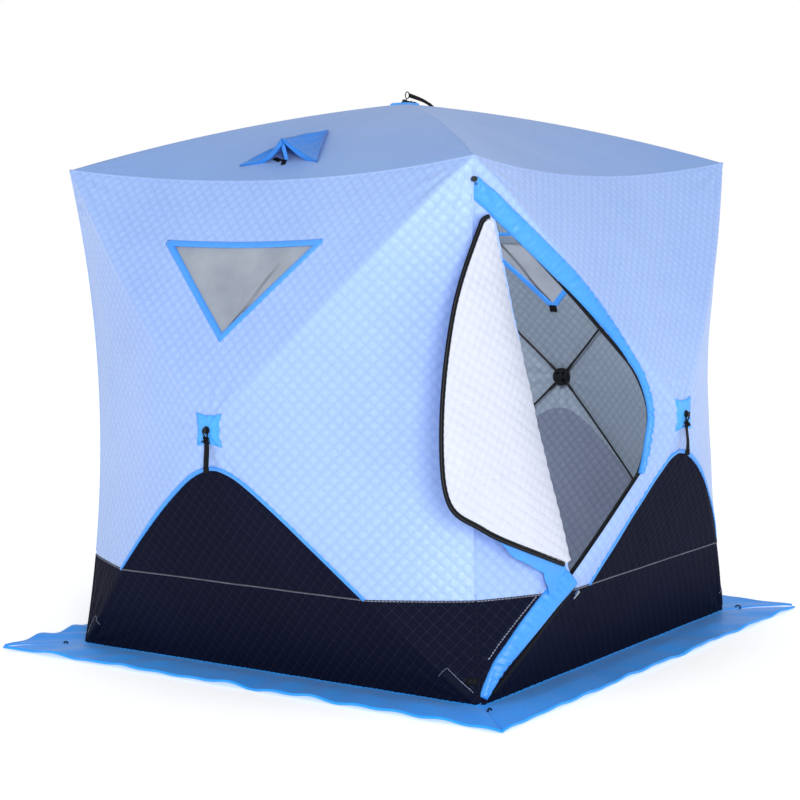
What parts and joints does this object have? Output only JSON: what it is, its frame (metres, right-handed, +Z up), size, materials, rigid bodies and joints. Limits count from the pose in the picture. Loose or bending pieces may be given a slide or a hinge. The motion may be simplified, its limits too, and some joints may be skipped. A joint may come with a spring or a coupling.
{
  "type": "ice fishing shelter",
  "caption": "Pop-up ice fishing shelter: quilted cloth cube on five spring-pole hubs, with an open zip door, two windows, a roof vent and a snow skirt.",
  "frame": {"origin": "middle of the floor, on the ground", "axes": "+Z up, -Y is the door wall, -X is the wall with the near window"},
  "size_m": [2.414, 2.414, 2.056],
  "materials": {
    "quilted_cloth": "quilted, diamond stitched, satin outer face",
    "roof_cloth": "smooth woven, satin",
    "dark_cloth": "quilted, matt",
    "blue_trim": "woven webbing and taffeta, satin",
    "skirt_cloth": "coated taffeta, satin",
    "door_lining": "quilted, white",
    "window_film": "clear flexible film",
    "black_webbing": "webbing",
    "black_plastic": "moulded",
    "zip": "coil zip",
    "mesh": "open mesh",
    "steel": "plated",
    "pole": "solid glass-fibre rod, black"
  },
  "bodies": {
    "shelter": {"top_boots": "black_plastic", "bottom_boots": "black_plastic", "front_cloth": "quilted_cloth", "right_cloth": "quilted_cloth", "back_cloth": "quilted_cloth", "left_cloth": "quilted_cloth", "roof_cloth": "roof_cloth", "front_lower_cloth": "dark_cloth", "right_lower_cloth": "dark_cloth", "back_lower_cloth": "dark_cloth", "left_lower_cloth": "dark_cloth", "left_window": "window_film", "right_window": "window_film", "window_bindings": "blue_trim", "snow_skirt": "skirt_cloth", "anchor_loops": "black_webbing", "door_zip": "zip", "door_storm_flap": "blue_trim", "door_toggle": "black_plastic", "vent_hood": "blue_trim", "vent_mesh": "mesh"},
    "front_hub": {"front_hub": "black_plastic", "front_hub_pins": "steel"},
    "front_pole_upper_right": {"front_pole_upper_right": "pole"},
    "front_pole_upper_left": {"front_pole_upper_left": "pole"},
    "front_pole_lower_left": {"front_pole_lower_left": "pole"},
    "front_pole_lower_right": {"front_pole_lower_right": "pole"},
    "front_pull_strap": {"front_pull_strap": "black_webbing"},
    "right_hub": {"right_hub": "black_plastic", "right_hub_pins": "steel"},
    "right_pole_upper_right": {"right_pole_upper_right": "pole"},
    "right_pole_upper_left": {"right_pole_upper_left": "pole"},
    "right_pole_lower_left": {"right_pole_lower_left": "pole"},
    "right_pole_lower_right": {"right_pole_lower_right": "pole"},
    "right_pull_strap": {"right_pull_strap": "black_webbing"},
    "back_hub": {"back_hub": "black_plastic", "back_hub_pins": "steel"},
    "back_pole_upper_right": {"back_pole_upper_right": "pole"},
    "back_pole_upper_left": {"back_pole_upper_left": "pole"},
    "back_pole_lower_left": {"back_pole_lower_left": "pole"},
    "back_pole_lower_right": {"back_pole_lower_right": "pole"},
    "back_pull_strap": {"back_pull_strap": "black_webbing"},
    "left_hub": {"left_hub": "black_plastic", "left_hub_pins": "steel"},
    "left_pole_upper_right": {"left_pole_upper_right": "pole"},
    "left_pole_upper_left": {"left_pole_upper_left": "pole"},
    "left_pole_lower_left": {"left_pole_lower_left": "pole"},
    "left_pole_lower_right": {"left_pole_lower_right": "pole"},
    "left_pull_strap": {"left_pull_strap": "black_webbing"},
    "roof_hub": {"roof_hub": "black_plastic", "roof_hub_pins": "steel"},
    "roof_pole_upper_right": {"roof_pole_upper_right": "pole"},
    "roof_pole_upper_left": {"roof_pole_upper_left": "pole"},
    "roof_pole_lower_left": {"roof_pole_lower_left": "pole"},
    "roof_pole_lower_right": {"roof_pole_lower_right": "pole"},
    "roof_pull_strap": {"roof_pull_strap": "black_webbing"},
    "door_flap": {"door_flap": "door_lining"},
    "zip_slider": {"zip_slider": "steel"},
    "vent_prop": {"vent_prop": "blue_trim"}
  },
  "joints": [
    {"name": "front_hub_slide", "type": "slide", "parent": "shelter", "child": "front_hub", "axis": [0, -1, 0], "range_m": [-0.25, 0], "deforming": ["front_pull_strap"]},
    {"name": "front_pole_upper_right_hinge", "type": "hinge", "parent": "front_hub", "child": "front_pole_upper_right", "pos_m": [0.0198, -1.164, 0.9198], "axis": [-0.7071, 0, 0.7071], "range_deg": [-14.46, 0]},
    {"name": "front_pole_upper_left_hinge", "type": "hinge", "parent": "front_hub", "child": "front_pole_upper_left", "pos_m": [-0.0198, -1.164, 0.9198], "axis": [-0.7071, 0, -0.7071], "range_deg": [-14.46, 0]},
    {"name": "front_pole_lower_left_hinge", "type": "hinge", "parent": "front_hub", "child": "front_pole_lower_left", "pos_m": [-0.0198, -1.164, 0.8802], "axis": [0.7071, 0, -0.7071], "range_deg": [-14.46, 0]},
    {"name": "front_pole_lower_right_hinge", "type": "hinge", "parent": "front_hub", "child": "front_pole_lower_right", "pos_m": [0.0198, -1.164, 0.8802], "axis": [0.7071, 0, 0.7071], "range_deg": [-14.46, 0]},
    {"name": "front_pull_strap_swing", "type": "hinge", "parent": "front_hub", "child": "front_pull_strap", "pos_m": [0, -1.198, 0.9], "axis": [1, 0, 0], "range_deg": [-110, 8]},
    {"name": "right_hub_slide", "type": "slide", "parent": "shelter", "child": "right_hub", "axis": [1, 0, 0], "range_m": [-0.25, 0], "deforming": ["right_pull_strap"]},
    {"name": "right_pole_upper_right_hinge", "type": "hinge", "parent": "right_hub", "child": "right_pole_upper_right", "pos_m": [1.164, 0.0198, 0.9198], "axis": [0, -0.7071, 0.7071], "range_deg": [-14.46, 0]},
    {"name": "right_pole_upper_left_hinge", "type": "hinge", "parent": "right_hub", "child": "right_pole_upper_left", "pos_m": [1.164, -0.0198, 0.9198], "axis": [0, -0.7071, -0.7071], "range_deg": [-14.46, 0]},
    {"name": "right_pole_lower_left_hinge", "type": "hinge", "parent": "right_hub", "child": "right_pole_lower_left", "pos_m": [1.164, -0.0198, 0.8802], "axis": [0, 0.7071, -0.7071], "range_deg": [-14.46, 0]},
    {"name": "right_pole_lower_right_hinge", "type": "hinge", "parent": "right_hub", "child": "right_pole_lower_right", "pos_m": [1.164, 0.0198, 0.8802], "axis": [0, 0.7071, 0.7071], "range_deg": [-14.46, 0]},
    {"name": "right_pull_strap_swing", "type": "hinge", "parent": "right_hub", "child": "right_pull_strap", "pos_m": [1.198, 0, 0.9], "axis": [0, 1, 0], "range_deg": [-110, 8]},
    {"name": "back_hub_slide", "type": "slide", "parent": "shelter", "child": "back_hub", "axis": [0, 1, 0], "range_m": [-0.25, 0], "deforming": ["back_pull_strap"]},
    {"name": "back_pole_upper_right_hinge", "type": "hinge", "parent": "back_hub", "child": "back_pole_upper_right", "pos_m": [-0.0198, 1.164, 0.9198], "axis": [0.7071, 0, 0.7071], "range_deg": [-14.46, 0]},
    {"name": "back_pole_upper_left_hinge", "type": "hinge", "parent": "back_hub", "child": "back_pole_upper_left", "pos_m": [0.0198, 1.164, 0.9198], "axis": [0.7071, 0, -0.7071], "range_deg": [-14.46, 0]},
    {"name": "back_pole_lower_left_hinge", "type": "hinge", "parent": "back_hub", "child": "back_pole_lower_left", "pos_m": [0.0198, 1.164, 0.8802], "axis": [-0.7071, 0, -0.7071], "range_deg": [-14.46, 0]},
    {"name": "back_pole_lower_right_hinge", "type": "hinge", "parent": "back_hub", "child": "back_pole_lower_right", "pos_m": [-0.0198, 1.164, 0.8802], "axis": [-0.7071, 0, 0.7071], "range_deg": [-14.46, 0]},
    {"name": "back_pull_strap_swing", "type": "hinge", "parent": "back_hub", "child": "back_pull_strap", "pos_m": [0, 1.198, 0.9], "axis": [-1, 0, 0], "range_deg": [-110, 8]},
    {"name": "left_hub_slide", "type": "slide", "parent": "shelter", "child": "left_hub", "axis": [-1, 0, 0], "range_m": [-0.25, 0], "deforming": ["left_pull_strap"]},
    {"name": "left_pole_upper_right_hinge", "type": "hinge", "parent": "left_hub", "child": "left_pole_upper_right", "pos_m": [-1.164, -0.0198, 0.9198], "axis": [0, 0.7071, 0.7071], "range_deg": [-14.46, 0]},
    {"name": "left_pole_upper_left_hinge", "type": "hinge", "parent": "left_hub", "child": "left_pole_upper_left", "pos_m": [-1.164, 0.0198, 0.9198], "axis": [0, 0.7071, -0.7071], "range_deg": [-14.46, 0]},
    {"name": "left_pole_lower_left_hinge", "type": "hinge", "parent": "left_hub", "child": "left_pole_lower_left", "pos_m": [-1.164, 0.0198, 0.8802], "axis": [0, -0.7071, -0.7071], "range_deg": [-14.46, 0]},
    {"name": "left_pole_lower_right_hinge", "type": "hinge", "parent": "left_hub", "child": "left_pole_lower_right", "pos_m": [-1.164, -0.0198, 0.8802], "axis": [0, -0.7071, 0.7071], "range_deg": [-14.46, 0]},
    {"name": "left_pull_strap_swing", "type": "hinge", "parent": "left_hub", "child": "left_pull_strap", "pos_m": [-1.198, 0, 0.9], "axis": [0, -1, 0], "range_deg": [-110, 8]},
    {"name": "roof_hub_slide", "type": "slide", "parent": "shelter", "child": "roof_hub", "axis": [0, 0, 1], "range_m": [-0.21, 0], "deforming": ["roof_pull_strap"]},
    {"name": "roof_pole_upper_right_hinge", "type": "hinge", "parent": "roof_hub", "child": "roof_pole_upper_right", "pos_m": [0.0198, 0.0198, 2.014], "axis": [-0.7071, 0.7071, 0], "range_deg": [-11.98, 0]},
    {"name": "roof_pole_upper_left_hinge", "type": "hinge", "parent": "roof_hub", "child": "roof_pole_upper_left", "pos_m": [-0.0198, 0.0198, 2.014], "axis": [-0.7071, -0.7071, 0], "range_deg": [-11.98, 0]},
    {"name": "roof_pole_lower_left_hinge", "type": "hinge", "parent": "roof_hub", "child": "roof_pole_lower_left", "pos_m": [-0.0198, -0.0198, 2.014], "axis": [0.7071, -0.7071, 0], "range_deg": [-11.98, 0]},
    {"name": "roof_pole_lower_right_hinge", "type": "hinge", "parent": "roof_hub", "child": "roof_pole_lower_right", "pos_m": [0.0198, -0.0198, 2.014], "axis": [0.7071, 0.7071, 0], "range_deg": [-11.98, 0]},
    {"name": "roof_pull_strap_swing", "type": "hinge", "parent": "roof_hub", "child": "roof_pull_strap", "pos_m": [0, 0, 2.048], "axis": [0.342, 0.9397, 0], "range_deg": [-160, 0]},
    {"name": "door_fold", "type": "hinge", "parent": "shelter", "child": "door_flap", "pos_m": [-0.8425, -0.91843, 1.60022], "axis": [0.2382, -0.1063, -0.9654], "range_deg": [-170, 0]},
    {"name": "zip_slider_run", "type": "slide", "parent": "shelter", "child": "zip_slider", "axis": [-0.6949, 0.2743, -0.6647], "range_m": [0, 0.38]},
    {"name": "vent_prop_fold", "type": "hinge", "parent": "shelter", "child": "vent_prop", "pos_m": [-0.712, 0.014, 1.81833], "axis": [0, -1, 0], "range_deg": [0, 30]}
  ],
  "couplings": [
    {"joint": "front_pole_upper_right_hinge", "follows": "front_hub_slide", "rad_per_m": 0.85279},
    {"joint": "front_pole_upper_left_hinge", "follows": "front_hub_slide", "rad_per_m": 0.85279},
    {"joint": "front_pole_lower_left_hinge", "follows": "front_hub_slide", "rad_per_m": 0.85279},
    {"joint": "front_pole_lower_right_hinge", "follows": "front_hub_slide", "rad_per_m": 0.85279},
    {"joint": "right_pole_upper_right_hinge", "follows": "right_hub_slide", "rad_per_m": 0.85279},
    {"joint": "right_pole_upper_left_hinge", "follows": "right_hub_slide", "rad_per_m": 0.85279},
    {"joint": "right_pole_lower_left_hinge", "follows": "right_hub_slide", "rad_per_m": 0.85279},
    {"joint": "right_pole_lower_right_hinge", "follows": "right_hub_slide", "rad_per_m": 0.85279},
    {"joint": "back_pole_upper_right_hinge", "follows": "back_hub_slide", "rad_per_m": 0.85279},
    {"joint": "back_pole_upper_left_hinge", "follows": "back_hub_slide", "rad_per_m": 0.85279},
    {"joint": "back_pole_lower_left_hinge", "follows": "back_hub_slide", "rad_per_m": 0.85279},
    {"joint": "back_pole_lower_right_hinge", "follows": "back_hub_slide", "rad_per_m": 0.85279},
    {"joint": "left_pole_upper_right_hinge", "follows": "left_hub_slide", "rad_per_m": 0.85279},
    {"joint": "left_pole_upper_left_hinge", "follows": "left_hub_slide", "rad_per_m": 0.85279},
    {"joint": "left_pole_lower_left_hinge", "follows": "left_hub_slide", "rad_per_m": 0.85279},
    {"joint": "left_pole_lower_right_hinge", "follows": "left_hub_slide", "rad_per_m": 0.85279},
    {"joint": "roof_pole_upper_right_hinge", "follows": "roof_hub_slide", "rad_per_m": 0.84996},
    {"joint": "roof_pole_upper_left_hinge", "follows": "roof_hub_slide", "rad_per_m": 0.84996},
    {"joint": "roof_pole_lower_left_hinge", "follows": "roof_hub_slide", "rad_per_m": 0.84996},
    {"joint": "roof_pole_lower_right_hinge", "follows": "roof_hub_slide", "rad_per_m": 0.84996}
  ]
}
